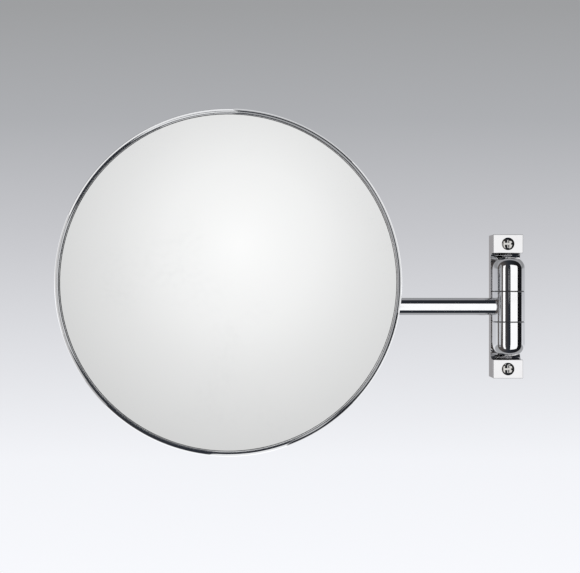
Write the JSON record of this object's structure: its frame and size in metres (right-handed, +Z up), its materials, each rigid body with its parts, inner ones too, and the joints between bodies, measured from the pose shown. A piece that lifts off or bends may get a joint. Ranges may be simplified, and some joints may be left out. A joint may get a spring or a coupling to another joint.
{
  "type": "extendable shaving mirror",
  "caption": "Round concave shaving mirror in a thin polished bead rim, on a tube that swings out from a wall bracket with a barrel hinge and swivels and tilts at its end.",
  "frame": {"origin": "centre of the bracket's back face, on the wall plane", "axes": "+Y into the wall, so the mirror faces -Y at rest; +Z up; the arm leaves the bracket toward -X at rest"},
  "size_m": [0.319, 0.0983, 0.23],
  "materials": {
    "chrome": "polished chrome plate on brass",
    "bright_steel": "zinc-plated turned steel",
    "spring_steel": "oil-dark spring steel",
    "bronze": "sintered bronze",
    "black_nylon": "plain moulded nylon",
    "black_rubber": "matt rubber",
    "grey_foam": "rigid moulded foam",
    "silvered_glass": "back-silvered glass"
  },
  "bodies": {
    "bracket": {"wall_bracket": "chrome", "wall_screws": "chrome", "upper_knuckle": "chrome", "lower_knuckle": "chrome", "knuckle_screws": "bright_steel", "hinge_pin": "bright_steel", "hinge_spring": "spring_steel"},
    "arm": {"arm_knuckle": "chrome", "hinge_bushes": "bronze", "hinge_washers": "black_nylon", "arm_tube": "chrome", "end_knuckle": "chrome", "swivel_pin": "bright_steel", "swivel_springs": "spring_steel", "swivel_nut": "bright_steel"},
    "swivel_head": {"swivel_knuckle": "chrome", "swivel_bush": "bronze", "swivel_washer": "black_nylon", "swivel_cap": "chrome", "tilt_bushes": "bronze"},
    "mirror": {"mirror_hub": "chrome", "tilt_bolt": "bright_steel", "tilt_nut": "bright_steel", "tilt_spring": "spring_steel", "tilt_washers": "black_nylon", "hub_screws": "bright_steel", "hub_plate": "bright_steel", "back_dish": "chrome", "backing_pad": "grey_foam", "retaining_ring": "black_rubber", "glass_gasket": "black_rubber", "mirror_glass": "silvered_glass", "rim_ring": "chrome"}
  },
  "joints": [
    {"name": "arm_swing", "type": "hinge", "parent": "bracket", "child": "arm", "pos_m": [0, -0.023, 0], "axis": [0, 0, 1], "range_deg": [0, 180]},
    {"name": "head_swivel", "type": "hinge", "parent": "arm", "child": "swivel_head", "pos_m": [-0.1929, -0.023, 0.0165], "axis": [0, 0, -1], "range_deg": [-6, 186]},
    {"name": "mirror_tilt", "type": "hinge", "parent": "swivel_head", "child": "mirror", "pos_m": [-0.1929, -0.0435, 0.0165], "axis": [1, 0, 0], "range_deg": [-40, 40]}
  ]
}
